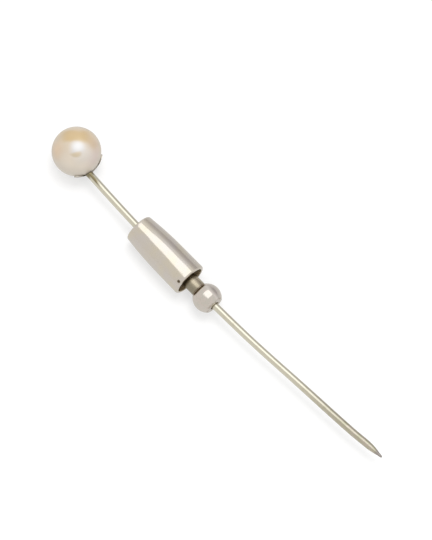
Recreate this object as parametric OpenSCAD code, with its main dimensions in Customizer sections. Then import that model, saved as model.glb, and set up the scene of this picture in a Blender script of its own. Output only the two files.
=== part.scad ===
// Tie pin: a bowed wire that carries a pearl in a petal cup, with a spring clutch that slides on it.
// It lies as it rests, with the surface at z = 0 under two of the cup's petals and the sleeve's
// mouth, and the point clear of the surface. X runs from the pearl to the point, and the wire bows towards -Y.

/* [Wire] */
// Diameter of the wire
wire_d = 1; // [0.9:0.05:1.1]
// Length of the wire's line from the pearl's centre to the point
wire_l = 62.1; // [60:0.1:70]
// Radius of the wire's long, shallow bow
bow_r = 390; // [300:10:800]
// Length of the straight stretch before the point
straight_l = 6; // [4:0.5:8]
// Length of the ground point
point_l = 2.9; // [2:0.1:4]
// Length of the blunt nib at the point's end
nib_l = 0.55; // [0.4:0.05:0.8]
// Radius where the nib starts
nib_r = 0.2; // [0.15:0.01:0.25]
// Radius of the nib's end
nib_end_r = 0.05; // [0.03:0.01:0.08]

/* [Pearl] */
// Diameter of the pearl
pearl_d = 7; // [6.6:0.1:7.2]
// How far the pearl sits to one side of the wire's line
pearl_side = 0.55; // [0.2:0.05:0.6]
// Radius of the hidden peg in the pearl
peg_r = 0.35; // [0.3:0.05:0.5]
// How far the peg stops short of the pearl's centre
peg_stop = 0.3; // [0.2:0.05:1]
// Gap round the peg and between pearl and cup
pearl_gap = 0.05; // [0.03:0.01:0.08]

/* [Cup] */
// Thickness of the cup's sheet metal
cup_wall = 0.2; // [0.15:0.05:0.3]
// How far the cup's axis points down from the wire's line, in degrees
cup_pitch = 45; // [42:1:48]
// Half angle of the cup's plain bowl, in degrees
bowl_angle = 25; // [22:1:26]
// Number of petals round the cup, with a gap straight down
petals = 4; // [4:1:4]
// Radius of a petal's round end
petal_r = 0.85; // [0.75:0.01:0.9]
// Angle from the cup's axis to the middle of a petal's end, in degrees
petal_angle = 42; // [41:1:43]
// Radius of a petal's root
root_r = 0.62; // [0.5:0.02:0.7]
// Angle from the cup's axis to the middle of a petal's root, in degrees
root_angle = 28; // [26:1:30]
// Radius of the solder bead at the wire's root
solder_r = 0.8; // [0.7:0.05:0.9]
// Distance from the pearl's station to the end of the solder bead
solder_reach = 4.05; // [3.9:0.05:4.1]

/* [Clutch sleeve] */
// Length of the sleeve
sleeve_l = 10.8; // [10.2:0.1:12]
// Radius of the sleeve at its mouth, where it is widest
sleeve_r = 2.61; // [2.55:0.01:2.8]
// Radius of the sleeve's top end
sleeve_top_r = 2.18; // [2.1:0.01:2.3]
// Length over which the sleeve swells from its top end
swell_l = 6.6; // [6:0.1:8]
// Slope of the nearly straight stretch from there to the mouth, in degrees
taper = 0.4; // [0.2:0.1:0.5]
// Rounding of the top end's edge
top_round = 0.25; // [0.15:0.05:0.4]
// Rounding of the rim round the mouth
rim_round = 0.15; // [0.1:0.05:0.2]
// Radius of the hollow mouth
mouth_r = 2.18; // [2.1:0.01:2.25]
// Depth of the hollow mouth
mouth_depth = 1.9; // [1.5:0.1:2]
// Thickness of the ring that guides the neck
guide_t = 0.6; // [0.5:0.1:0.8]
// Thickness of the top end
top_t = 0.8; // [0.6:0.1:1]
// Radius of the wire's hole in the top end
top_hole_r = 0.68; // [0.66:0.01:0.75]
// Radius of the closed chamber inside
chamber_r = 1.85; // [1.8:0.05:1.9]
// Distance from the sleeve's top end to the point
sleeve_from_point = 47.9; // [40:0.1:50]

/* [Clutch knob] */
// Radius of the ball
ball_r = 2.07; // [1.9:0.01:2.2]
// Distance from the sleeve's mouth to the ball's centre
ball_out = 3.55; // [3.4:0.05:4]
// Radius of the neck between sleeve and ball
neck_r = 1.15; // [1.1:0.01:1.2]
// Running clearance of the neck in its guide ring
neck_gap = 0.06; // [0.04:0.01:0.08]
// Radius of the wire's hole in the knob
knob_hole_r = 0.725; // [0.7:0.005:0.8]
// Distance from the ball's centre to its flat end
ball_flat = 1.72; // [1.6:0.02:1.8]
// Width of the turned groove between neck and ball
groove_w = 0.14; // [0.1:0.02:0.2]
// Depth of the turned groove between neck and ball
groove_d = 0.08; // [0.05:0.01:0.1]
// Radius of the flange that keeps the knob in the sleeve
flange_r = 1.7; // [1.6:0.05:1.75]
// Thickness of that flange
flange_t = 0.6; // [0.5:0.1:0.8]
// Room for the knob to be pulled out
pull_room = 1.3; // [1.2:0.1:1.5]

/* [Hidden] */
// Facets of round shapes, and of the arcs with a long radius
$fn = 96;
long_fn = 2880;
// A cut starts this far outside what it cuts
cut = 1;

// The wire lies at the height of the sleeve's radius, and the bow's centre is far off towards +Y
wire_r = wire_d / 2;
wire_z = sleeve_r;
// The straight stretch is a thousandth thinner, so that its end face lies within the bow's
straight_r = wire_r - 0.001;
pearl_r = pearl_d / 2;
cup_in_r = pearl_r + pearl_gap;
cup_out_r = cup_in_r + cup_wall;
// The pearl stands on the edges of the two lower petals, which lie this far from straight down
petal_off = acos(sin(cup_pitch) * cos(petal_angle) + cos(cup_pitch) * sin(petal_angle) * cos(180 / petals));
pearl_z = cup_out_r * cos(petal_off - asin(petal_r / cup_out_r));
half_l = wire_l / 2;
bow_rise = bow_r - sqrt(bow_r * bow_r - half_l * half_l);
// The origin is at the middle of the whole pin's box
bow_x = pearl_r / 2;
low_y = sleeve_r / 2 - (bow_rise + pearl_side + pearl_r) / 2;
bow_y = bow_r + low_y;

// Stations along the wire are lengths from the bow's middle, positive towards the point
straight_at = half_l - point_l - straight_l;
sleeve_at = half_l - sleeve_from_point;
clutch_l = sleeve_l + ball_out + ball_flat;
clutch_at = sleeve_at + clutch_l / 2;
// The straight clutch takes up half of the wire's sag along its length
clutch_sag = clutch_l * clutch_l / (16 * bow_r);

// The sloping stretch touches the rim's rounding, and the sleeve's long arc carries it on
rim_x = sleeve_r - rim_round + rim_round * cos(taper);
rim_at = sleeve_l - rim_round - rim_round * sin(taper);
slope_x = rim_x - (rim_at - swell_l) * tan(taper);
swell_drop = slope_x - sleeve_top_r;
swell_r = (swell_l * swell_l + swell_drop * swell_drop)
        / (2 * (swell_drop * cos(taper) - swell_l * sin(taper)));
swell_x = slope_x - swell_r * cos(taper);
swell_at = swell_l + swell_r * sin(taper);
// The rounding that touches both the arc and the top end
corner_r = swell_r - top_round;
corner_x = swell_x + sqrt(corner_r * corner_r - pow(swell_at - top_round, 2));
corner_end = swell_at - (swell_at - top_round) * swell_r / corner_r;
guide_at = sleeve_l - mouth_depth - guide_t;

// The knob's parts, as lengths from the sleeve's top end
ball_at = sleeve_l + ball_out;
neck_end = ball_at - sqrt(ball_r * ball_r - neck_r * neck_r);
flange_at = guide_at - pull_room - flange_t;

// The point's curved flank touches the straight stretch
flank_l = point_l - nib_l;
flank_drop = straight_r - nib_r;
flank_r = (flank_l * flank_l + flank_drop * flank_drop) / (2 * flank_drop);

// The turn about the bow's centre, in degrees, that a length along the wire makes
function turn(station) = station / bow_r * 180 / PI;

// Puts children at a station of the wire, with their X along it
module at_station(station) {
    translate([bow_x, bow_y, wire_z])
        rotate([0, 0, turn(station)])
            translate([0, -bow_r, 0])
                children();
}

// Puts children at the pearl's centre, with their Z along the cup's axis
module at_pearl() {
    at_station(-half_l)
        translate([0, pearl_side, pearl_z - wire_z])
            rotate([0, 90 + cup_pitch, 0])
                children();
}

// Puts children on the clutch's axis, with their Z from the sleeve's top end towards the point
module on_clutch_axis() {
    at_station(clutch_at)
        translate([-clutch_l / 2, clutch_sag, 0])
            rotate([0, 90, 0])
                children();
}

// The wire from the pearl's station to the straight stretch, as one circular arc
module bowed_wire() {
    translate([bow_x, bow_y, wire_z])
        rotate([0, 0, turn(-half_l) - 90])
            rotate_extrude(angle = turn(straight_at + half_l), $fn = long_fn)
                translate([bow_r, 0])
                    circle(r = wire_r, $fn = 48);
}

// The straight stretch and the ground point with its blunt nib
module wire_end() {
    at_station(straight_at)
        rotate([0, 90, 0]) {
            cylinder(r = straight_r, h = straight_l);
            translate([0, 0, straight_l])
                rotate_extrude()
                    point_outline();
        }
}

module point_outline() {
    intersection() {
        translate([straight_r - flank_r, 0])
            circle(r = flank_r, $fn = long_fn);
        square([straight_r, flank_l]);
    }
    translate([0, flank_l])
        polygon([[0, 0], [nib_r, 0], [nib_end_r, nib_l], [0, nib_l]]);
}

// Sheet metal cup: a plain bowl with petals that widen to round ends
module cup() {
    intersection() {
        sphere(r = cup_out_r);
        union() {
            cylinder(r1 = 0, r2 = cup_out_r * tan(bowl_angle), h = cup_out_r);
            for (i = [0 : petals - 1])
                rotate([0, 0, (i + 0.5) * 360 / petals]) {
                    cup_disc(petal_angle, petal_r);
                    cup_disc(root_angle, root_r);
                }
        }
    }
}

// Short round bar through the cup's wall, at an angle from the cup's axis
module cup_disc(angle, r) {
    inner = cup_in_r - cut / 2;
    rotate([0, angle, 0])
        translate([0, 0, inner])
            cylinder(r = r, h = cup_out_r + cut - inner);
}

// Bead of solder round the wire's root, where it meets the cup
module solder() {
    at_station(-half_l)
        translate([solder_reach - solder_r, 0, 0])
            sphere(r = solder_r);
}

// Hidden peg that stands in the drilled pearl
module peg() {
    translate([0, 0, peg_stop])
        cylinder(r = peg_r, h = cup_in_r + cup_wall / 2 - peg_stop);
}

module pin_stem() {
    color([0.80, 0.77, 0.66]) {
        difference() {
            union() {
                bowed_wire();
                wire_end();
                solder();
                at_pearl() cup();
            }
            at_pearl() sphere(r = cup_in_r);
        }
        at_pearl() peg();
    }
}

// Round pearl, drilled almost to its centre along the cup's axis
module pearl() {
    color([0.88, 0.80, 0.70])
        at_pearl()
            difference() {
                sphere(r = pearl_r);
                translate([0, 0, pearl_gap])
                    cylinder(r = peg_r + pearl_gap, h = pearl_d);
            }
}

// Half section of the sleeve's outside, with the swelling arc and its rounded ends
module sleeve_outline() {
    rim_inset = sleeve_r - rim_round;
    intersection() {
        translate([swell_x, swell_at])
            circle(r = swell_r, $fn = long_fn);
        translate([0, corner_end])
            square([sleeve_r, swell_l - corner_end]);
    }
    square([corner_x, corner_end]);
    translate([corner_x, top_round])
        circle(r = top_round);
    polygon([[0, swell_l], [slope_x, swell_l], [rim_x, rim_at], [0, rim_at]]);
    square([rim_inset, sleeve_l]);
    translate([rim_inset, sleeve_l - rim_round])
        circle(r = rim_round);
}

// Half section of the sleeve's inside: wire hole, closed chamber, guide hole and open mouth
module sleeve_inside() {
    translate([-cut, -cut])
        square([top_hole_r + cut, top_t + 2 * cut]);
    translate([-cut, top_t])
        square([chamber_r + cut, guide_at - top_t]);
    translate([-cut, guide_at - cut])
        square([neck_r + neck_gap + cut, guide_t + 2 * cut]);
    translate([-cut, sleeve_l - mouth_depth])
        square([mouth_r + cut, mouth_depth + cut]);
}

module sleeve() {
    color([0.76, 0.73, 0.69])
        on_clutch_axis()
            rotate_extrude()
                difference() {
                    sleeve_outline();
                    sleeve_inside();
                }
}

// Half section of the ball, its neck and the flange inside the sleeve
module knob_outline() {
    difference() {
        union() {
            translate([0, ball_at])
                circle(r = ball_r);
            translate([0, flange_at])
                square([neck_r, ball_at - flange_at]);
            translate([0, flange_at])
                square([flange_r, flange_t]);
        }
        translate([neck_r - groove_d, neck_end - groove_w])
            square([groove_d + cut, groove_w]);
        translate([-ball_r - cut, 0])
            square([ball_r + cut + knob_hole_r, ball_at + ball_r + cut]);
        translate([0, ball_at + ball_flat])
            square([ball_r, ball_r]);
    }
}

module knob() {
    color([0.72, 0.69, 0.63])
        on_clutch_axis()
            rotate_extrude()
                knob_outline();
}

pin_stem();
pearl();
sleeve();
knob();
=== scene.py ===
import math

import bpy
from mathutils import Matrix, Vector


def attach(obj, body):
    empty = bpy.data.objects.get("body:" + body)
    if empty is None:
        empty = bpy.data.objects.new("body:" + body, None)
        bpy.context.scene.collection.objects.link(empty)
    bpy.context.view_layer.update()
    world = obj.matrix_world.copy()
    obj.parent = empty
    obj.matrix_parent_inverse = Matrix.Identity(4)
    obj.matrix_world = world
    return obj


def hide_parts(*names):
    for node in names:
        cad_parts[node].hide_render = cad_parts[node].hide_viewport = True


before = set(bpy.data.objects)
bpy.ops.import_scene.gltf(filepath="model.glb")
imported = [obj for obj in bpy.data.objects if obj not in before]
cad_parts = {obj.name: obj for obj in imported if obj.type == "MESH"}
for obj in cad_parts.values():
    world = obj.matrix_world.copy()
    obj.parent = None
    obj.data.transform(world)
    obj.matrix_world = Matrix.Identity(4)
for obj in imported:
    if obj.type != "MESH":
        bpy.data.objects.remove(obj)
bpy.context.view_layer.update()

# A pearl tie pin, lying as it rests on a pale table. Each piece is modelled here over its own solid
# of the frame: the wire with its point, the petal cup, the pearl, and the clutch's sleeve and knob.
# Lengths are in millimetres where they are written, and MM turns them into metres.

MM = 0.001
UP = Vector((0, 0, 1))

# The wire's line is an arc about a centre far off towards +Y, and stations are lengths along it
WIRE_R = 0.52
WIRE_HEIGHT = 2.61
BOW_R = 390
BOW_CENTRE = Vector((1.75, 388.661003, WIRE_HEIGHT))
PEARL_STATION = -31.05
STRAIGHT_STATION = 22.15
CLUTCH_STATION = -8.815

PEARL_R = 3.54
PEARL_HEIGHT = 3.5751
PEARL_ASIDE = 0.51
CUP_R = 3.57
CUP_WALL = 0.16

# Along the clutch's axis, lengths run from the sleeve's top end towards the point
CLUTCH_HALF_L = 8.035
CLUTCH_ASIDE = 0.0414
SLEEVE_L = 10.8
MOUTH_R = 2.18
DIMPLE_AT = 10.28
DIMPLE_OUT = 2.6
DIMPLE_TURN = math.radians(41.5)
BALL_AT = 14.35
BALL_R = 2.07
BORE_R = 0.66

# The photo's size, the picture's scale, and where the wire's middle stands in it
PICTURE_WIDTH, PICTURE_HEIGHT, PIXELS_PER_MM = 432, 540, 7.094
MIDDLE_IN_PICTURE = (217.71, 295.33)
CAMERA_FAR = LIGHTS_FAR = 600


def wire_frame(station):
    """The wire's point at a station, its direction there, and the direction of the bow's hollow side."""
    turn = station / BOW_R
    place = BOW_CENTRE + Vector((math.sin(turn), -math.cos(turn), 0)) * BOW_R
    return place, Vector((math.cos(turn), math.sin(turn), 0)), Vector((-math.sin(turn), math.cos(turn), 0))


def axes_matrix(x, y, z, place=Vector((0, 0, 0))):
    """A matrix that carries the world's axes to these, with its origin at a place in millimetres."""
    turned = Matrix((x, y, z)).transposed().to_4x4()
    turned.translation = place * MM
    return turned


root_place, root_along, root_side = wire_frame(PEARL_STATION)
PEARL_PLACE = root_place + root_side * PEARL_ASIDE + UP * (PEARL_HEIGHT - WIRE_HEIGHT)
# The cup's axis points half down from the wire, and its X points down and away from the wire
CUP_AXIS = (root_along - UP).normalized()
CUP_FRAME = axes_matrix((-root_along - UP).normalized(), root_side, CUP_AXIS, PEARL_PLACE)

clutch_place, CLUTCH_AXIS, clutch_side = wire_frame(CLUTCH_STATION)
CLUTCH_FOOT = clutch_place - CLUTCH_AXIS * CLUTCH_HALF_L + clutch_side * CLUTCH_ASIDE
CLUTCH_FRAME = axes_matrix(clutch_side, UP, CLUTCH_AXIS, CLUTCH_FOOT)


# ---------------------------------------------------------------- modelling by hand

def clear_selection():
    """Leaves edit mode and deselects everything, the frame's nodes too."""
    if bpy.context.object is not None and bpy.context.object.mode != "OBJECT":
        bpy.ops.object.mode_set(mode="OBJECT")
    bpy.ops.object.select_all(action="DESELECT")


def name_piece(name):
    """Names the piece that was added last, and its mesh."""
    piece = bpy.context.object
    piece.name = name
    piece.data.name = name
    return piece


def choose(piece, kind, wanted):
    """In edit mode, selects the vertices, edges or faces whose middle is wanted, and nothing else."""
    bpy.ops.mesh.select_all(action="DESELECT")
    bpy.ops.mesh.select_mode(type=kind)
    bpy.ops.object.mode_set(mode="OBJECT")
    mesh = piece.data
    if kind == "VERT":
        for vertex in mesh.vertices:
            vertex.select = wanted(vertex.co)
    elif kind == "EDGE":
        for edge in mesh.edges:
            a, b = (mesh.vertices[i].co for i in edge.vertices)
            edge.select = wanted((a + b) / 2)
    else:
        for face in mesh.polygons:
            face.select = wanted(face.center)
    bpy.ops.object.mode_set(mode="EDIT")


def apply_place(piece):
    """Puts the piece's place into its mesh, so that its object sits at the origin."""
    clear_selection()
    piece.select_set(True)
    bpy.context.view_layer.objects.active = piece
    bpy.ops.object.transform_apply(location=True, rotation=True, scale=True)


def finish_with(piece, kind, **values):
    """Adds a modifier with its values and applies it."""
    clear_selection()
    piece.select_set(True)
    bpy.context.view_layer.objects.active = piece
    modifier = piece.modifiers.new(kind.title(), kind)
    for key, value in values.items():
        setattr(modifier, key, value)
    bpy.ops.object.modifier_apply(modifier=modifier.name)


def smooth(piece, degrees=35):
    """Shades the piece smooth, apart from its edges that are sharper than this."""
    clear_selection()
    piece.select_set(True)
    bpy.context.view_layer.objects.active = piece
    bpy.ops.object.shade_smooth_by_angle(angle=math.radians(degrees))


def pull_rings(foot, axis, outline):
    """In edit mode, pulls the selected ring through an outline of (length along the axis, radius)."""
    at, radius = outline[0]
    for next_at, next_radius in outline[1:]:
        bpy.ops.mesh.extrude_edges_move(TRANSFORM_OT_translate={"value": axis * (next_at - at) * MM})
        grow = next_radius / radius
        bpy.ops.transform.resize(value=(grow, grow, grow), center_override=(foot + axis * next_at) * MM)
        at, radius = next_at, next_radius


def first_ring(name, foot, axis, at, radius, around):
    """Adds the open ring that a turned piece starts from, at its size and place."""
    clear_selection()
    bpy.ops.mesh.primitive_circle_add(
        vertices=around, radius=radius * MM, fill_type="NOTHING",
        location=(foot + axis * at) * MM, rotation=axis.to_track_quat("Z", "Y").to_euler())
    piece = name_piece(name)
    apply_place(piece)
    bpy.ops.object.mode_set(mode="EDIT")
    bpy.ops.mesh.select_all(action="SELECT")
    return piece


def turned_ring(name, foot, axis, outline, around):
    """Turns a hollow piece whose outline comes back to where it starts."""
    piece = first_ring(name, foot, axis, *outline[0], around)
    pull_rings(foot, axis, outline + outline[:1])
    bpy.ops.mesh.select_all(action="SELECT")
    bpy.ops.mesh.remove_doubles(threshold=0.0005 * MM)
    bpy.ops.mesh.normals_make_consistent(inside=False)
    bpy.ops.object.mode_set(mode="OBJECT")
    return piece


def arc(centre_at, centre_radius, radius, start, end, steps):
    """Points of an outline round a centre. 0 degrees is outwards, and 90 towards the point."""
    found = []
    for i in range(steps + 1):
        a = math.radians(start + (end - start) * i / steps)
        found.append((centre_at + radius * math.sin(a), centre_radius + radius * math.cos(a)))
    return found


# ---------------------------------------------------------------- the wire

def make_wire():
    """Draws the wire out of its solder at the cup, along the bow and the straight stretch to the point."""
    place, along, _ = wire_frame(PEARL_STATION)
    fillet = [(2.95, 0.88), (3.15, 0.83), (3.32, 0.745), (3.46, 0.66), (3.6, 0.59), (3.76, 0.55),
              (3.92, 0.53), (4.1, WIRE_R)]
    wire = first_ring("stem_wire", place, along, *fillet[0], 48)
    pull_rings(place, along, fillet)

    # The solder keeps its width underneath, and is drawn in to the wire on top and at the sides
    for at, radius in fillet[:-1]:
        middle = (place + along * at) * MM
        choose(wire, "VERT", lambda co: abs((co - middle).dot(along)) < 0.002 * MM)
        drawn_in = WIRE_R + (radius - WIRE_R) * 0.2
        bpy.ops.transform.resize(value=(1, drawn_in / radius, (drawn_in + radius) / (2 * radius)),
                                 center_override=middle - UP * radius * MM)
    choose(wire, "VERT", lambda co: (co - place * MM).dot(along) > (fillet[-1][0] - 0.002) * MM)
    bpy.ops.mesh.spin(steps=150, angle=-(STRAIGHT_STATION - PEARL_STATION - fillet[-1][0]) / BOW_R,
                      center=BOW_CENTRE * MM, axis=(0, 0, 1))

    # The straight stretch, the point's long curved flank and its small blunt nib
    place, along, _ = wire_frame(STRAIGHT_STATION)
    flank_l, nib_r = 2.45, 0.215
    drop = WIRE_R - nib_r
    flank_r = (flank_l ** 2 + drop ** 2) / (2 * drop)
    outline = [(0, WIRE_R), (2, WIRE_R), (4, WIRE_R), (6, WIRE_R)]
    for i in range(1, 19):
        at = flank_l * i / 18
        outline.append((6 + at, WIRE_R - flank_r + math.sqrt(flank_r ** 2 - at ** 2)))
    outline += [(8.62, 0.2), (8.79, 0.178), (8.92, 0.15), (8.99, 0.117), (9.035, 0.075), (9.045, 0.03)]
    pull_rings(place, along, outline)
    bpy.ops.mesh.edge_face_add()
    first = (root_place + root_along * fillet[0][0]) * MM
    choose(wire, "EDGE", lambda co: abs((co - first).dot(root_along)) < 0.001 * MM)
    bpy.ops.mesh.edge_face_add()
    bpy.ops.mesh.select_all(action="SELECT")
    bpy.ops.mesh.normals_make_consistent(inside=False)

    # Between the clutch and the point the wire leaves its arc a little and is a little thicker
    for station, push, fatten, reach in ((15.8, 0.122, 0.0, 11), (29.0, 0.09, 0.0, 3.5),
                                         (21.0, 0.01, 0.022, 12)):
        place, _, side = wire_frame(station)
        choose(wire, "VERT", lambda co: abs(co.x / MM - place.x) < 0.35)
        bpy.ops.transform.translate(value=side * push * MM, use_proportional_edit=True,
                                    proportional_edit_falloff="SMOOTH", proportional_size=reach * MM)
        bpy.ops.transform.shrink_fatten(value=fatten * MM, use_proportional_edit=True,
                                        proportional_edit_falloff="SMOOTH", proportional_size=reach * MM)
    bpy.ops.object.mode_set(mode="OBJECT")

    # The solder is hollowed to the cup's back, clear of the pearl
    room = pearl_room(CUP_R + 0.06)
    finish_with(wire, "BOOLEAN", operation="DIFFERENCE", object=room, solver="EXACT")
    bpy.data.objects.remove(room)
    keep_straightened_place(wire)
    smooth(wire)
    return wire


def pearl_room(radius):
    """A ball round the pearl's centre, to cut other pieces with."""
    clear_selection()
    bpy.ops.mesh.primitive_uv_sphere_add(
        segments=96, ring_count=48, radius=radius * MM, location=PEARL_PLACE * MM)
    return name_piece("pearl_room")


def keep_straightened_place(wire):
    """Keeps each vertex's place as if the wire were straight, in millimetres, for its drawing lines."""
    attribute = wire.data.attributes.new("straightened", "FLOAT_VECTOR", "POINT")
    for vertex, kept in zip(wire.data.vertices, attribute.data):
        out = Vector((vertex.co.x, vertex.co.y, 0)) / MM - Vector((BOW_CENTRE.x, BOW_CENTRE.y, 0))
        turn = math.atan2(out.x, -out.y)
        kept.vector = (turn * BOW_R, BOW_R - out.length, vertex.co.z / MM - BOW_CENTRE.z)


# ---------------------------------------------------------------- the cup and the pearl

def make_cup():
    """Cuts the cup's flat blank with four petals, domes it to the pearl and gives it its thickness."""
    def flat(degrees):
        return CUP_R * math.tan(math.radians(degrees)) * MM

    # The bowl's blank lies where it touches the pearl's room, and grows ring by ring to its edge
    clear_selection()
    level = CUP_R * MM
    bpy.ops.mesh.primitive_circle_add(
        vertices=32, radius=flat(6), fill_type="TRIFAN", location=(0, 0, level))
    cup = name_piece("pearl_cup")
    apply_place(cup)
    bpy.ops.object.mode_set(mode="EDIT")
    choose(cup, "EDGE", lambda co: co.xy.length > flat(5.8))
    for inner, outer in ((6, 12), (12, 18), (18, 23), (23, 26)):
        bpy.ops.mesh.extrude_edges_move(TRANSFORM_OT_translate={"value": (0, 0, 0)})
        grow = flat(outer) / flat(inner)
        bpy.ops.transform.resize(value=(grow, grow, 1), center_override=(0, 0, level))

    # One petal grows from four edges of the rim, waisted at its root and round at its end
    choose(cup, "EDGE",
           lambda co: co.xy.length > flat(25.2) and co.x > 0 and abs(co.y) < 0.4 * co.x)
    rows = [(30, 9.3), (34, 10.6), (38, 13.0), (42, 14.2), (46, 13.4), (49.5, 11.2), (52.6, 7.8),
            (54.8, 3.4)]
    at, width = 25, 9.95
    for next_at, next_width in rows:
        bpy.ops.mesh.extrude_edges_move(TRANSFORM_OT_translate={"value": (flat(next_at) - flat(at), 0, 0)})
        grow = flat(next_width) / flat(width)
        bend = 0.6 if next_at < 50 else 1.1
        bpy.ops.transform.resize(value=(bend, grow, 1), center_override=(flat(next_at), 0, level))
        at, width = next_at, next_width
    choose(cup, "FACE", lambda co: co.x > flat(26.2) * 0.985 and abs(co.y) < 0.5 * co.x)
    bpy.ops.mesh.spin(steps=3, dupli=True, angle=math.radians(270), center=(0, 0, 0), axis=(0, 0, 1))
    bpy.ops.mesh.select_all(action="SELECT")
    bpy.ops.mesh.remove_doubles(threshold=0.002 * MM)

    # The two petals beside the wire lean a little away from it
    for towards, turn in ((Vector((0, 1, 0)), 13), (Vector((-1, 0, 0)), -9)):
        choose(cup, "VERT",
               lambda co: co.xy.length > flat(27) and co.dot(towards) > 0.4 * co.xy.length)
        bpy.ops.transform.rotate(value=math.radians(turn), orient_axis="Z", center_override=(0, 0, level))
    bpy.ops.mesh.select_all(action="SELECT")
    bpy.ops.mesh.normals_make_consistent(inside=False)
    bpy.ops.object.mode_set(mode="OBJECT")

    finish_with(cup, "SUBSURF", levels=2, render_levels=2)
    finish_with(cup, "CAST", cast_type="SPHERE", factor=1, size=CUP_R * MM, use_radius_as_size=False)
    finish_with(cup, "SOLIDIFY", thickness=CUP_WALL * MM, offset=1, use_even_offset=True)
    finish_with(cup, "BEVEL", width=0.06 * MM, segments=3, limit_method="ANGLE",
                angle_limit=math.radians(50))
    cup.matrix_world = CUP_FRAME @ Matrix.Rotation(math.radians(45), 4, "Z")
    apply_place(cup)
    smooth(cup, 50)
    return cup


def make_pearl():
    """Rounds the pearl, a hair lower than it is wide, and drills it on the cup's axis."""
    clear_selection()
    bpy.ops.mesh.primitive_uv_sphere_add(
        segments=128, ring_count=96, radius=PEARL_R * MM, location=PEARL_PLACE * MM,
        rotation=CUP_FRAME.to_euler())
    pearl = name_piece("pearl_bead")
    apply_place(pearl)
    bpy.ops.object.mode_set(mode="EDIT")

    centre = PEARL_PLACE * MM
    bpy.ops.mesh.select_all(action="SELECT")
    bpy.ops.transform.resize(value=(1, 1, 0.994), center_override=centre)

    # The drill's hole, on the cup's axis almost to the middle
    pole = centre + CUP_AXIS * PEARL_R * MM
    choose(pearl, "FACE", lambda co: (co - pole).length < 0.42 * MM)
    bpy.ops.mesh.extrude_region_move(TRANSFORM_OT_translate={"value": -CUP_AXIS * 3.2 * MM})
    bpy.ops.object.mode_set(mode="OBJECT")
    smooth(pearl, 40)
    return pearl


# ---------------------------------------------------------------- the clutch

def make_sleeve():
    """Turns the sleeve: its swelling barrel, the rim round its open mouth, and its hollow inside."""
    swell_r, swell_at, swell_x = 61.468, 7.0291, -58.885
    corner_x = 1.9565
    outline = [(0.06, 0.68), (0.018, 0.7), (0, 0.745), (0, 1.3)]
    outline += arc(0.25, corner_x, 0.25, -90, -6, 7)
    for i in range(1, 27):
        at = 0.24 + (6.6 - 0.24) * i / 26
        outline.append((at, swell_x + math.sqrt(swell_r ** 2 - (at - swell_at) ** 2)))
    for i in range(1, 37):
        outline.append((6.6 + (10.5 - 6.6) * i / 36, 2.58173 + (2.6092 - 2.58173) * i / 36))
    outline += arc(10.52, 2.33, 0.28, 5, 90, 9)
    outline += arc(SLEEVE_L - 0.06, MOUTH_R + 0.06, 0.06, 90, 180, 3)
    outline += [(10.3, MOUTH_R), (9.7, MOUTH_R), (9.2, MOUTH_R), (8.98, MOUTH_R), (8.91, 2.15),
                (8.9, 2.05), (8.9, 1.6), (8.9, 1.26), (8.85, 1.21), (8.35, 1.21), (8.3, 1.26),
                (8.3, 1.85), (6, 1.85), (3, 1.85), (0.8, 1.85), (0.8, 0.72), (0.76, 0.68), (0.4, 0.68)]
    sleeve = turned_ring("clutch_sleeve", CLUTCH_FOOT, CLUTCH_AXIS, outline, 200)

    # The old dimple beside the mouth is pushed in, a little further at each narrower step
    bpy.ops.object.mode_set(mode="EDIT")
    out = CLUTCH_FRAME.to_3x3() @ Vector((-math.sin(DIMPLE_TURN), math.cos(DIMPLE_TURN), 0))
    dimple = (CLUTCH_FOOT + CLUTCH_AXIS * DIMPLE_AT + out * DIMPLE_OUT) * MM
    for reach, push in ((0.34, 0.012), (0.29, 0.022), (0.24, 0.028), (0.18, 0.02), (0.11, 0.01)):
        choose(sleeve, "VERT", lambda co: (co - dimple).length < reach * MM)
        bpy.ops.transform.translate(value=-out * push * MM)
    bpy.ops.object.mode_set(mode="OBJECT")
    smooth(sleeve, 32)
    return sleeve


def make_knob():
    """Turns the knob: the flange in the sleeve, the neck, the groove and the ball with its bored end."""
    neck_r, shoulder_r = 1.15, 1.36
    outline = [(6.45, BORE_R), (6.4, 0.78), (6.4, 1.66), (6.44, 1.7), (6.96, 1.7), (7, 1.66), (7, 1.2),
               (7.05, neck_r), (8, neck_r), (9.2, neck_r)]
    outline += [(9.2 + 0.4 * i, neck_r) for i in range(1, 9)]

    # The groove is cut in where the neck meets the ball's shoulder
    neck_end = BALL_AT - math.sqrt(BALL_R ** 2 - shoulder_r ** 2)
    outline += [(neck_end - before, radius) for before, radius in (
        (0.19, neck_r), (0.165, neck_r - 0.03), (0.15, 1.085), (0.08, 1.07), (0.04, 1.09),
        (0.025, 1.15), (0.015, 1.31))]
    start = math.degrees(math.asin((neck_end - BALL_AT) / BALL_R))
    outline += arc(BALL_AT, 0, BALL_R, start, 46.8, 42)
    outline += [(BALL_AT + past, radius) for past, radius in (
        (1.535, 1.375), (1.55, 1.32), (1.55, 1.05), (1.55, 0.74), (1.53, 0.68), (1.48, BORE_R),
        (1.2, BORE_R), (0, BORE_R))]
    outline += [(12, BORE_R), (10, BORE_R), (8, BORE_R)]
    knob = turned_ring("clutch_knob", CLUTCH_FOOT, CLUTCH_AXIS, outline, 128)
    smooth(knob, 32)
    return knob


# ---------------------------------------------------------------- node helpers

def node(tree, kind, values=None, **settings):
    """Adds a node with its settings, and sets or links its inputs by name or number."""
    made = tree.nodes.new(kind)
    for key, value in settings.items():
        setattr(made, key, value)
    for key, value in (values or {}).items():
        if isinstance(value, bpy.types.NodeSocket):
            tree.links.new(value, made.inputs[key])
        else:
            made.inputs[key].default_value = value
    return made


def maths(tree, operation, a, b=0.0, c=0.0, clamp=False):
    """One step of arithmetic on values."""
    made = node(tree, "ShaderNodeMath", {0: a, 1: b, 2: c}, operation=operation, use_clamp=clamp)
    return made.outputs[0]


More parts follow.
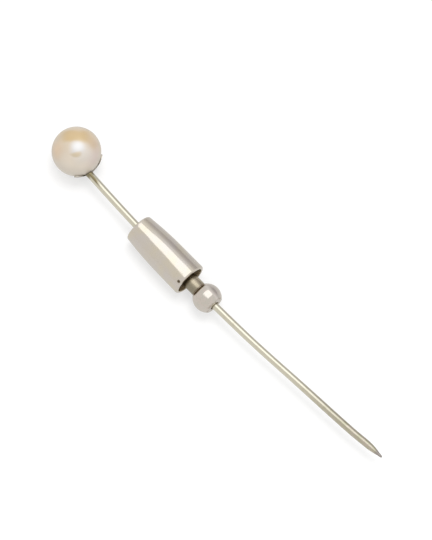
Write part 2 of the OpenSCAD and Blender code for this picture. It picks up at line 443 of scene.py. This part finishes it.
def product(tree, first, *others):
    """Multiplies values or masks with each other."""
    for other in others:
        first = maths(tree, "MULTIPLY", first, other)
    return first


def spread(tree, value, low, high, to_low=0.0, to_high=1.0):
    """Maps a value from one range to another, smoothly and no further than its ends."""
    return node(tree, "ShaderNodeMapRange", {"Value": value, "From Min": low, "From Max": high,
                "To Min": to_low, "To Max": to_high}, interpolation_type="SMOOTHSTEP").outputs[0]


def mixed(tree, share, first, second):
    """Goes from the first colour to the second by a share."""
    return node(tree, "ShaderNodeMix", {0: share, 6: first, 7: second}, data_type="RGBA").outputs[2]


def colour(red, green, blue):
    """A colour socket's value."""
    return (red, green, blue, 1.0)


def noise(tree, vector, scale, detail=3.0, roughness=0.5, distortion=0.0):
    """Cloudy noise from 0 to 1, about 0.5."""
    return node(tree, "ShaderNodeTexNoise", {"Vector": vector, "Scale": scale, "Detail": detail,
                "Roughness": roughness, "Distortion": distortion}).outputs["Fac"]


def stretched(tree, vector, scale):
    """Scales a place by its own factor on each axis."""
    return node(tree, "ShaderNodeMapping", {"Vector": vector, "Scale": scale}).outputs[0]


def distance(tree, place, point):
    """How far each place is from a point."""
    made = node(tree, "ShaderNodeVectorMath", {0: place, 1: point}, operation="DISTANCE")
    return made.outputs["Value"]


def raised(tree, height, reach, below=None, strength=1.0):
    """Raises a surface by a reach where the height is 1, on top of the bumps below it."""
    values = {"Strength": strength, "Distance": reach, "Height": height}
    if below is not None:
        values["Normal"] = below
    return node(tree, "ShaderNodeBump", values).outputs[0]


def in_millimetres(tree, place_frame):
    """Object coordinates in millimetres, from a piece's own place and along its own axes."""
    coordinate = node(tree, "ShaderNodeTexCoord").outputs["Object"]
    return node(tree, "ShaderNodeMapping", {"Vector": coordinate, "Location": place_frame.translation,
                "Rotation": place_frame.to_euler(), "Scale": (MM, MM, MM)}, vector_type="TEXTURE").outputs[0]


def new_group(name, inputs, outputs):
    """An empty shader node group with named sockets, each given as name and type."""
    group = bpy.data.node_groups.new(name, "ShaderNodeTree")
    kinds = {"value": "NodeSocketFloat", "colour": "NodeSocketColor", "vector": "NodeSocketVector"}
    for label, kind in inputs:
        group.interface.new_socket(label, in_out="INPUT", socket_type=kinds[kind])
    for label, kind in outputs:
        group.interface.new_socket(label, in_out="OUTPUT", socket_type=kinds[kind])
    return group, group.nodes.new("NodeGroupInput"), group.nodes.new("NodeGroupOutput")


def place_group(tree, group, values):
    """Adds a group's node, and sets or links its inputs by name."""
    made = tree.nodes.new("ShaderNodeGroup")
    made.node_tree = group
    for key, value in values.items():
        if isinstance(value, bpy.types.NodeSocket):
            tree.links.new(value, made.inputs[key])
        else:
            made.inputs[key].default_value = value
    return made


def new_material(name):
    """A material with one principled shader: the material, its tree and the shader."""
    material = bpy.data.materials.new(name)
    material.use_nodes = True
    tree = material.node_tree
    tree.nodes.clear()
    output = tree.nodes.new("ShaderNodeOutputMaterial")
    shader = tree.nodes.new("ShaderNodeBsdfPrincipled")
    tree.links.new(shader.outputs[0], output.inputs[0])
    return material, tree, shader


# ---------------------------------------------------------------- effects that several metals share

def fine_scratches_group():
    """Hairline scratches in three directions: a mask of the scratches and their height."""
    group, given, out = new_group("fine_scratches", [("Place", "vector"), ("Density", "value")],
                                  [("Scratches", "value"), ("Height", "value")])
    place = given.outputs["Place"]
    lines = []
    for turn, scale, seed in ((0.5, 9.0, 0.0), (-0.9, 12.0, 7.0), (1.9, 7.0, 13.0)):
        laid = node(group, "ShaderNodeMapping", {"Vector": place, "Location": (seed, seed, seed),
                    "Rotation": (turn, 0.6 * turn, 0.3), "Scale": (1, 1, 0.06)}).outputs[0]
        off_middle = maths(group, "SUBTRACT", noise(group, laid, scale, 1.0, 0.4), 0.5)
        lines.append(spread(group, maths(group, "ABSOLUTE", off_middle), 0.012, 0.0))
    every = maths(group, "MAXIMUM", maths(group, "MAXIMUM", lines[0], lines[1]), lines[2])
    patches = spread(group, noise(group, place, 1.1, 2.0), 0.45, 0.7)
    shown = maths(group, "MULTIPLY", product(group, every, patches), given.outputs["Density"], clamp=True)
    group.links.new(shown, out.inputs["Scratches"])
    group.links.new(product(group, shown, -1.0), out.inputs["Height"])
    return group


def tarnish_group():
    """Cloudy tarnish that gathers where it is asked to: how much of it there is at each place."""
    group, given, out = new_group(
        "tarnish", [("Place", "vector"), ("Size", "value"), ("Gathers", "value")], [("Tarnish", "value")])
    clouds = noise(group, given.outputs["Place"], given.outputs["Size"], 4.0, 0.6, 0.3)
    gathered = maths(group, "MULTIPLY_ADD", given.outputs["Gathers"], 0.7, clouds)
    group.links.new(spread(group, gathered, 0.58, 0.95), out.inputs["Tarnish"])
    return group


def handling_group():
    """Soft unevenness that years of handling leave: a slow height and a change of gloss."""
    group, given, out = new_group("handling", [("Place", "vector"), ("Size", "value")],
                                  [("Height", "value"), ("Gloss", "value")])
    slow = noise(group, given.outputs["Place"], given.outputs["Size"], 1.5, 0.45)
    smears = noise(group, stretched(group, given.outputs["Place"], (1, 1, 0.4)), 2.2, 3.0, 0.6)
    group.links.new(slow, out.inputs["Height"])
    group.links.new(maths(group, "SUBTRACT", smears, 0.5), out.inputs["Gloss"])
    return group


SCRATCHES = fine_scratches_group()
TARNISH = tarnish_group()
HANDLING = handling_group()


def tarnished(tree, place, size, gathers):
    """How much tarnish there is at each place."""
    values = {"Place": place, "Size": size, "Gathers": gathers}
    return place_group(tree, TARNISH, values).outputs["Tarnish"]


def metal_surface(tree, shader, place, roughness, scratches=0.5, unevenness=0.01, uneven_size=0.5):
    """Gives a metal its worn gloss, and returns the bumps of its scratches and of handling."""
    worn = place_group(tree, SCRATCHES, {"Place": place, "Density": scratches})
    handled = place_group(tree, HANDLING, {"Place": place, "Size": uneven_size})
    rough = maths(tree, "MULTIPLY_ADD", handled.outputs["Gloss"], 0.06, roughness)
    rough = maths(tree, "MULTIPLY_ADD", worn.outputs["Scratches"], 0.12, rough)
    tree.links.new(rough, shader.inputs["Roughness"])
    slow = raised(tree, handled.outputs["Height"], unevenness * MM)
    return raised(tree, worn.outputs["Height"], 0.002 * MM, slow)


# ---------------------------------------------------------------- materials

def pale_gold_material():
    """Pale yellow gold of the drawn wire, with its drawing lines, a little tarnish, and a painted reflection
    by the solder.
    """
    material, tree, shader = new_material("pale_gold_wire")
    place = node(tree, "ShaderNodeAttribute", attribute_name="straightened").outputs["Vector"]
    axes = node(tree, "ShaderNodeSeparateXYZ", {0: place})
    station, across = axes.outputs["X"], axes.outputs["Y"]
    fine = metal_surface(tree, shader, place, spread(tree, station, 24, 30, 0.12, 0.28), 0.5, 0.006)
    drawn = noise(tree, stretched(tree, place, (0.25, 9, 9)), 1.0, 3.0, 0.6)
    tree.links.new(raised(tree, drawn, 0.004 * MM, fine, 0.6), shader.inputs["Normal"])

    # Pale for most of its length, then greyer and mottled, and brown at the point's nib
    dull = tarnished(tree, place, 1.1, spread(tree, station, 12, 26, 0.12, 0.3))
    tint = mixed(tree, noise(tree, place, 0.35, 2.0), colour(0.77, 0.74, 0.63), colour(0.80, 0.765, 0.64))
    tint = mixed(tree, product(tree, dull, 0.35), tint, colour(0.52, 0.46, 0.30))
    greyer = mixed(tree, dull, colour(0.62, 0.58, 0.48), colour(0.50, 0.48, 0.35))
    tint = mixed(tree, spread(tree, station, 12, 24), tint, greyer)
    patches = spread(tree, noise(tree, stretched(tree, place, (0.6, 1.2, 1.2)), 1.7, 2.0), 0.35, 0.65)
    mottled = mixed(tree, patches, colour(0.52, 0.51, 0.37), colour(0.64, 0.57, 0.50))
    tint = mixed(tree, spread(tree, station, 20, 26, 0.0, 0.75), tint, mottled)
    tint = mixed(tree, spread(tree, station, 29.7, 30.4), tint, colour(0.42, 0.38, 0.36))

    # By the solder a painted reflection of the pearl's shaded underside darkens the wire: a slanting brown
    # streak on its upper side, and painted shade all round it close to the solder
    slanted = maths(tree, "MULTIPLY_ADD", across, 1.8, station)
    painted_pearl_reflection = product(tree, spread(tree, across, -0.36, -0.2), spread(tree, across, 0.18, 0.04),
                     spread(tree, slanted, -24.9, -26.3), 0.95)
    painted_root_shade = spread(tree, station, -26.6, -27.3, 0.0, 0.85)
    tint = mixed(tree, maths(tree, "MAXIMUM", painted_pearl_reflection, painted_root_shade), tint, colour(0.22, 0.18, 0.09))
    tree.links.new(tint, shader.inputs["Base Color"])
    shader.inputs["Metallic"].default_value = 1.0
    return material


def cup_material():
    """Pale gold of the cup, greyer than the wire, with painted shade that darkens it away from its petals'
    ends.
    """
    material, tree, shader = new_material("pale_gold_cup")
    place = in_millimetres(tree, CUP_FRAME)
    tree.links.new(metal_surface(tree, shader, place, 0.2), shader.inputs["Normal"])
    reach = node(tree, "ShaderNodeSeparateXYZ", {0: place}).outputs["Z"]
    # Painted shade: the metal is darker away from the petals' ends and lighter at their tips
    shade_painted_metal = mixed(tree, spread(tree, reach, 2.75, 2.35), colour(0.36, 0.33, 0.29), colour(0.62, 0.58, 0.52))
    dull = tarnished(tree, place, 1.6, 0.3)
    tint = mixed(tree, product(tree, dull, 0.5), shade_painted_metal, colour(0.30, 0.25, 0.18))
    tree.links.new(tint, shader.inputs["Base Color"])
    shader.inputs["Metallic"].default_value = 1.0
    return material


def white_gold_material():
    """White gold of the sleeve, polished and softly worn."""
    material, tree, shader = new_material("white_gold_sleeve")
    place = in_millimetres(tree, CLUTCH_FRAME)
    axes = node(tree, "ShaderNodeSeparateXYZ", {0: place})
    along = axes.outputs["Z"]
    turn = maths(tree, "ARCTAN2", axes.outputs["X"], axes.outputs["Y"])

    def rises(start, end):
        """Rises from 0 to 1 between two angles from the top, towards the bow's hollow side."""
        return spread(tree, turn, math.radians(start), math.radians(end))

    not_under = rises(150, 60)
    roughness = maths(tree, "MULTIPLY_ADD", product(tree, not_under, rises(8, 40)), 0.08, 0.13)
    fine = metal_surface(tree, shader, place, roughness, 0.6, 0.02, uneven_size=0.4)

    # The barrel's top is worn flatter on one side towards the mouth and on the other by its top end,
    # and long soft facets run down it
    share = maths(tree, "MULTIPLY_ADD", along, -1 / 5.5, 4.5 / 5.5)
    flatter = product(tree, share, rises(-34, -6))
    by_top = spread(tree, along, 5.5, 1.5, 0.0, -0.35)
    flatter = maths(tree, "MULTIPLY_ADD", by_top, rises(2, 22), flatter)
    worn_flat = raised(tree, product(tree, flatter, not_under), 0.075 * MM, fine)
    facets = noise(tree, stretched(tree, place, (1.5, 1.5, 0.12)), 1.0, 2.0, 0.5)
    tree.links.new(raised(tree, facets, 0.02 * MM, worn_flat), shader.inputs["Normal"])

    warm = spread(tree, noise(tree, place, 0.45, 2.0), 0.35, 0.7)
    tint = mixed(tree, warm, colour(0.74, 0.69, 0.65), colour(0.76, 0.70, 0.60))
    dull = tarnished(tree, place, 0.9, 0.0)
    tint = mixed(tree, product(tree, dull, 0.35), tint, colour(0.55, 0.48, 0.36))

    # The dimple is dark, with a rough edge
    dimple = (-DIMPLE_OUT * math.sin(DIMPLE_TURN), DIMPLE_OUT * math.cos(DIMPLE_TURN), DIMPLE_AT)
    rough_edge = maths(tree, "MULTIPLY_ADD", noise(tree, place, 4.0, 2.0), 0.16, -0.08)
    away = maths(tree, "ADD", distance(tree, place, dimple), rough_edge)
    tint = mixed(tree, spread(tree, away, 0.31, 0.16), tint, colour(0.13, 0.10, 0.06))
    tree.links.new(tint, shader.inputs["Base Color"])
    shader.inputs["Metallic"].default_value = 1.0
    return material


def mouth_material():
    """The sleeve's hollow inside, brown with old tarnish."""
    material, tree, shader = new_material("tarnished_mouth")
    place = in_millimetres(tree, CLUTCH_FRAME)
    dull = tarnished(tree, place, 2.0, 0.45)
    tint = mixed(tree, dull, colour(0.80, 0.70, 0.50), colour(0.48, 0.39, 0.25))
    tree.links.new(tint, shader.inputs["Base Color"])
    tree.links.new(spread(tree, dull, 0, 1, 0.3, 0.5), shader.inputs["Roughness"])
    grain = noise(tree, place, 6.0, 4.0, 0.6)
    tree.links.new(raised(tree, grain, 0.01 * MM, strength=0.7), shader.inputs["Normal"])
    shader.inputs["Metallic"].default_value = 0.8
    return material


def bore_material():
    """The knob's bore and its edge, brown with what gathers round the wire."""
    material, tree, shader = new_material("tarnished_bore")
    dull = tarnished(tree, in_millimetres(tree, CLUTCH_FRAME), 3.0, 0.3)
    tint = mixed(tree, dull, colour(0.36, 0.31, 0.23), colour(0.20, 0.165, 0.12))
    tree.links.new(tint, shader.inputs["Base Color"])
    tree.links.new(spread(tree, dull, 0, 1, 0.4, 0.6), shader.inputs["Roughness"])
    shader.inputs["Metallic"].default_value = 0.7
    return material


def worn_gold_material():
    """The knob: a ball of greyish pink gold, and a yellower, tarnished neck with turning lines, darkened by
    painted shade in the sleeve's mouth.
    """
    material, tree, shader = new_material("worn_gold_knob")
    place = in_millimetres(tree, CLUTCH_FRAME)
    axes = node(tree, "ShaderNodeSeparateXYZ", {0: place})
    side, along = axes.outputs["X"], axes.outputs["Z"]
    on_neck = spread(tree, along, 12.78, 12.62)
    roughness = spread(tree, along, 12.78, 12.62, 0.08, 0.26)
    fine = metal_surface(tree, shader, place, roughness, 0.9, 0.012, uneven_size=0.7)

    # Tarnish gathers in the groove, round the hole and a little on the neck
    in_groove = product(tree, spread(tree, along, 12.58, 12.68), spread(tree, along, 13.08, 12.9))
    gathers = maths(tree, "MULTIPLY_ADD", in_groove, 0.5, product(tree, on_neck, 0.1))
    gathers = maths(tree, "MULTIPLY_ADD", spread(tree, along, 15.6, 15.9), 0.35, gathers)
    dull = tarnished(tree, place, 1.8, gathers)

    # The neck is rubbed bare on the bow's hollow side, and painted shade darkens it most in the sleeve's
    # mouth
    rubbed = product(tree, spread(tree, side, -0.75, -0.1), spread(tree, along, 12.4, 11.7, 0.65, 1.0))
    neck = mixed(tree, rubbed, colour(0.34, 0.31, 0.24), colour(0.58, 0.51, 0.39))
    blooms = spread(tree, noise(tree, place, 2.4, 4.0, 0.7), 0.35, 0.65)
    ball = mixed(tree, blooms, colour(0.77, 0.695, 0.655), colour(0.71, 0.68, 0.625))
    tint = mixed(tree, on_neck, ball, neck)
    turned = noise(tree, stretched(tree, place, (0.4, 0.4, 9)), 1.0, 2.0, 0.5)
    lined = product(tree, on_neck, spread(tree, turned, 0.45, 0.6, 0.0, 0.35))
    tint = mixed(tree, lined, tint, colour(0.38, 0.33, 0.24))
    tint = mixed(tree, product(tree, dull, 0.6), tint, colour(0.33, 0.25, 0.19))
    # Painted shade from the sleeve's mouth, darkest where the neck goes into it
    painted_mouth_shade = spread(tree, along, 11.45, 10.95, 0.0, 0.85)
    tint = mixed(tree, painted_mouth_shade, tint, colour(0.20, 0.165, 0.10))
    tree.links.new(tint, shader.inputs["Base Color"])
    shader.inputs["Metallic"].default_value = 1.0

    # The ball is rubbed a little flatter on its top
    from_top = distance(tree, place, (-0.37, 2.03, BALL_AT + 0.11))
    worn_flat = raised(tree, spread(tree, from_top, 0, 1.9), 0.075 * MM, fine)
    lines = raised(tree, turned, product(tree, on_neck, 0.006 * MM), worn_flat, 0.8)
    tree.links.new(lines, shader.inputs["Normal"])
    return material


def nacre_material():
    """The pearl's cream nacre under a soft gloss, with peach and grey-pink zones, a painted warm reflection
    as a golden band, a painted pale highlight, a painted tan reflection of the camera, and painted light
    that lightens its lower part.
    """
    material, tree, shader = new_material("cream_nacre")
    place = in_millimetres(tree, axes_matrix(*PEARL_AXES, PEARL_PLACE))
    wavy = node(tree, "ShaderNodeTexNoise", {"Vector": place, "Scale": 0.5, "Detail": 1.0}).outputs["Color"]
    shifted = node(tree, "ShaderNodeVectorMath", {0: wavy, 1: (0.5, 0.5, 0.5)},
                   operation="SUBTRACT").outputs[0]
    bent = node(tree, "ShaderNodeVectorMath", {0: shifted, 1: (0.9, 0.9, 0.9), 2: place},
                operation="MULTIPLY_ADD").outputs[0]
    axes = node(tree, "ShaderNodeSeparateXYZ", {0: bent})
    right, up, near = (axes.outputs[name] for name in "XYZ")

    # Painted light makes the lower part lighter, and a painted warm reflection of the room lies as a golden
    # band across the top, on the side that faces up
    tint = mixed(tree, spread(tree, up, 1.2, -2.8), colour(0.445, 0.372, 0.285), colour(0.565, 0.50, 0.42))
    painted_golden_reflection = product(tree, spread(tree, up, 0.9, 1.7), spread(tree, up, 3.3, 2.5),
                   spread(tree, maths(tree, "ABSOLUTE", right), 2.9, 1.1),
                   spread(tree, near, -1.2, 1.4), 0.85)
    tint = mixed(tree, painted_golden_reflection, tint, colour(0.405, 0.29, 0.135))

    # Soft round zones: where each lies to the right and up, its reach, its softness and its share
    skin_r = 3.5
    for x, y, reach, soft, share, zone_tint in (
            (-2.8, 0.1, 1.1, 1.0, 0.75, colour(0.54, 0.395, 0.27)),
            # A painted warm reflection: the golden band goes on down the right side
            (2.3, 1.0, 0.8, 0.8, 0.8, colour(0.41, 0.305, 0.205)),
            (2.6, -0.9, 1.2, 1.0, 0.7, colour(0.49, 0.405, 0.375)),
            # Painted highlight: the last two zones whiten the nacre under and round the highlight
            (1.0, -0.3, 1.4, 0.9, 0.6, colour(0.48, 0.455, 0.425)),
            (0.25, 0.35, 0.95, 0.5, 0.9, colour(0.43, 0.42, 0.42))):
        middle = (x, y, math.sqrt(skin_r ** 2 - x * x - y * y))
        zone = spread(tree, distance(tree, bent, middle), reach + soft, reach - soft)
        tint = mixed(tree, product(tree, zone, share), tint, zone_tint)

    # A painted tan reflection of the camera, as a flat patch in the middle
    wide = maths(tree, "MULTIPLY_ADD", right, 1 / 0.72, -0.05 / 0.72)
    high = maths(tree, "MULTIPLY_ADD", up, 1 / 0.4, 0.5 / 0.4)
    from_camera_reflection = maths(tree, "ADD", product(tree, wide, wide), product(tree, high, high))
    painted_camera_reflection = product(tree, spread(tree, from_camera_reflection, 2.0, 0.0, 0.0, 0.9), spread(tree, near, 0.5, 2.0))
    tint = mixed(tree, painted_camera_reflection, tint, colour(0.41, 0.33, 0.215))
    tree.links.new(tint, shader.inputs["Base Color"])
    shader.inputs["Roughness"].default_value = 0.32
    shader.inputs["IOR"].default_value = 1.6
    shader.inputs["Coat Weight"].default_value = 0.6
    shader.inputs["Coat Roughness"].default_value = 0.27
    shader.inputs["Coat IOR"].default_value = 1.55
    skin = noise(tree, place, 0.9, 2.0, 0.4)
    tree.links.new(raised(tree, skin, 0.012 * MM, strength=0.8), shader.inputs["Normal"])
    return material


def drill_material():
    """Chalky inside of the pearl's drill hole."""
    material, tree, shader = new_material("drilled_nacre")
    rings = noise(tree, stretched(tree, in_millimetres(tree, CUP_FRAME), (1, 1, 6)), 2.0, 3.0)
    tint = mixed(tree, rings, colour(0.55, 0.5, 0.43), colour(0.72, 0.68, 0.6))
    tree.links.new(tint, shader.inputs["Base Color"])
    shader.inputs["Roughness"].default_value = 0.8
    return material


def paint(piece, material, other=None, wanted=None):
    """Gives a piece its material, and another to the faces that are wanted for it."""
    piece.data.materials.clear()
    piece.data.materials.append(material)
    if other is not None:
        piece.data.materials.append(other)
        for face in piece.data.polygons:
            face.material_index = 1 if wanted(face) else 0


# ---------------------------------------------------------------- the camera, the table and the light

HEADING, ELEVATION = math.radians(45.7), math.radians(72)
PICTURE_RIGHT = Vector((math.cos(HEADING), math.sin(HEADING), 0))
PICTURE_AWAY = Vector((-math.sin(HEADING), math.cos(HEADING), 0))
TOWARDS_CAMERA = PICTURE_AWAY * -math.cos(ELEVATION) + UP * math.sin(ELEVATION)
PICTURE_UP = TOWARDS_CAMERA.cross(PICTURE_RIGHT)
PEARL_AXES = (PICTURE_RIGHT, PICTURE_UP, TOWARDS_CAMERA)


def set_camera():
    """Stands the camera over the pin at the photo's angle and scale."""
    aim = Vector((0, 0, WIRE_HEIGHT))
    stand = aim + TOWARDS_CAMERA * CAMERA_FAR
    aim_right = (MIDDLE_IN_PICTURE[0] - PICTURE_WIDTH / 2) / PIXELS_PER_MM
    aim_down = (MIDDLE_IN_PICTURE[1] - PICTURE_HEIGHT / 2) / PIXELS_PER_MM
    middle = aim - PICTURE_RIGHT * aim_right + PICTURE_UP * aim_down
    data = bpy.data.cameras.new("camera")
    data.sensor_fit = "VERTICAL"
    data.sensor_height = 24
    data.lens = PIXELS_PER_MM * CAMERA_FAR * data.sensor_height / PICTURE_HEIGHT
    data.clip_start = 0.01
    camera = bpy.data.objects.new("camera", data)
    camera.location = stand * MM
    camera.rotation_euler = (middle - stand).to_track_quat("-Z", "Y").to_euler()
    bpy.context.scene.collection.objects.link(camera)
    bpy.context.scene.camera = camera


def lay_table():
    """A wide table of white card. The camera, gloss and scattered light each see it in their own tone, and
    in gloss it glows with painted light, darker beyond the wire's hollow side.
    """
    clear_selection()
    bpy.ops.mesh.primitive_plane_add(size=4, location=(0, 0, -0.00001))
    table = name_piece("table")
    apply_place(table)
    material, tree, shader = new_material("white_card")
    place = node(tree, "ShaderNodeTexCoord").outputs["Object"]
    grain = noise(tree, place, 900.0, 3.0)
    light = node(tree, "ShaderNodeLightPath")
    seen = mixed(tree, grain, colour(0.45, 0.45, 0.45), colour(0.46, 0.46, 0.46))
    tint = mixed(tree, light.outputs["Is Diffuse Ray"], seen, colour(0.85, 0.85, 0.84))
    tint = mixed(tree, light.outputs["Is Glossy Ray"], tint, colour(0.12, 0.12, 0.12))
    tree.links.new(tint, shader.inputs["Base Color"])
    shader.inputs["Roughness"].default_value = 0.9
    shader.inputs["Specular IOR Level"].default_value = 0.0
    glow = mixed(tree, light.outputs["Is Camera Ray"], colour(0, 0, 0), colour(0.5, 0.5, 0.5))
    beyond = spread(tree, node(tree, "ShaderNodeSeparateXYZ", {0: place}).outputs["Y"], 0.001, 0.012)
    # Painted light: in gloss the table glows, darker beyond the wire's hollow side
    painted_glow_in_gloss = mixed(tree, beyond, colour(0.60, 0.59, 0.56), colour(0.48, 0.47, 0.46))
    glow = mixed(tree, light.outputs["Is Glossy Ray"], glow, painted_glow_in_gloss)
    tree.links.new(glow, shader.inputs["Emission Color"])
    shader.inputs["Emission Strength"].default_value = 1.0
    table.data.materials.append(material)


def hang_light(name, towards, size, radiance, tint, seen_in_gloss):
    """A square light overhead with its edges along the wire, seen either in the metal or on the table."""
    across = (Vector((1, 0, 0)) - towards * towards.x).normalized()
    data = bpy.data.lights.new(name, "AREA")
    data.shape = "SQUARE"
    data.size = size
    data.energy = radiance * math.pi * size * size
    data.color = tint
    light = bpy.data.objects.new(name, data)
    light.matrix_world = axes_matrix(across, towards.cross(across), towards, towards * LIGHTS_FAR)
    light.visible_glossy = seen_in_gloss
    light.visible_diffuse = not seen_in_gloss
    bpy.context.scene.collection.objects.link(light)
    return light


def hang_lights():
    """A big softbox that the metal mirrors, and the smaller window that casts the shadows."""
    hang_light("softbox", Vector((-0.12, 0.20, 0.97)).normalized(), size=0.52, radiance=0.66,
               tint=(0.96, 0.99, 1.0), seen_in_gloss=True)
    hang_light("window", Vector((-0.10, 0.24, 0.96)).normalized(), size=0.28, radiance=5.6,
               tint=(1.0, 0.99, 0.98), seen_in_gloss=False)


def hang_glint(pearl):
    """A brighter copy of the softbox for the pearl alone, because nacre mirrors far less than metal."""
    glint = hang_light("pearl_glint", Vector((0.0, 0.19, 0.98)).normalized(), size=0.54, radiance=2.6,
                       tint=(0.92, 0.97, 1.0), seen_in_gloss=True)
    lit = bpy.data.collections.new("lit_by_glint")
    lit.objects.link(pearl)
    glint.light_linking.receiver_collection = lit


def light_room():
    """A white room. Gloss sees it in tones that run from the wire's bowed side to its hollow side."""
    world = bpy.data.worlds.new("studio")
    bpy.context.scene.world = world
    world.use_nodes = True
    tree = world.node_tree
    tree.nodes.clear()
    direction = node(tree, "ShaderNodeTexCoord").outputs["Generated"]
    across = node(tree, "ShaderNodeSeparateXYZ", {0: direction}).outputs["Y"]
    ramp = node(tree, "ShaderNodeValToRGB", {0: maths(tree, "MULTIPLY_ADD", across, 0.5, 0.5)})
    bands = [(0.0, 0.74, 0.72, 0.68), (0.74, 0.76, 0.75, 0.72), (0.84, 0.84, 0.83, 0.82),
             (0.93, 0.60, 0.58, 0.57), (0.975, 0.46, 0.44, 0.44)]
    for i, (at, *tint) in enumerate(bands):
        stop = ramp.color_ramp.elements[i] if i < 2 else ramp.color_ramp.elements.new(at)
        stop.position, stop.color = at, colour(*tint)
    light = node(tree, "ShaderNodeLightPath")
    walls = mixed(tree, light.outputs["Is Glossy Ray"], colour(1.0, 1.0, 1.0), ramp.outputs[0])
    shown = mixed(tree, light.outputs["Is Camera Ray"], walls, colour(1, 1, 1))
    background = node(tree, "ShaderNodeBackground", {"Color": shown, "Strength": 1.0})
    output = tree.nodes.new("ShaderNodeOutputWorld")
    tree.links.new(background.outputs[0], output.inputs[0])


set_camera()
lay_table()
hang_lights()
light_room()
bpy.context.scene.view_settings.view_transform = "Standard"

wire = make_wire()
cup = make_cup()
pearl = make_pearl()
sleeve = make_sleeve()
knob = make_knob()

clutch_inverse = CLUTCH_FRAME.inverted()


def inside_sleeve(face):
    """Whether a face of the sleeve belongs to its mouth, its chamber or its top hole."""
    place = clutch_inverse @ face.center / MM
    return place.xy.length < MOUTH_R + 0.01 and place.z > (0.3 if place.xy.length > 1.9 else 0.03)


def in_bore(face):
    """Whether a face of the knob belongs to its bore or the bore's edge."""
    place = clutch_inverse @ face.center / MM
    return place.xy.length < BORE_R + 0.12


def in_drill(face):
    """Whether a face of the pearl belongs to its drill hole."""
    return (face.center - PEARL_PLACE * MM).length < (PEARL_R - 0.12) * MM


paint(wire, pale_gold_material())
paint(cup, cup_material())
paint(pearl, nacre_material(), drill_material(), in_drill)
paint(sleeve, white_gold_material(), mouth_material(), inside_sleeve)
paint(knob, worn_gold_material(), bore_material(), in_bore)
hang_glint(pearl)

for piece, body, solid, finish in ((wire, "pin", "pin_stem", "pale_gold"),
                                   (cup, "pin", "pin_stem", "pale_gold"),
                                   (pearl, "pin", "pearl", "pearl"),
                                   (sleeve, "sleeve", "sleeve", "white_gold"),
                                   (knob, "knob", "knob", "worn_gold")):
    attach(piece, body)
    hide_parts(solid)
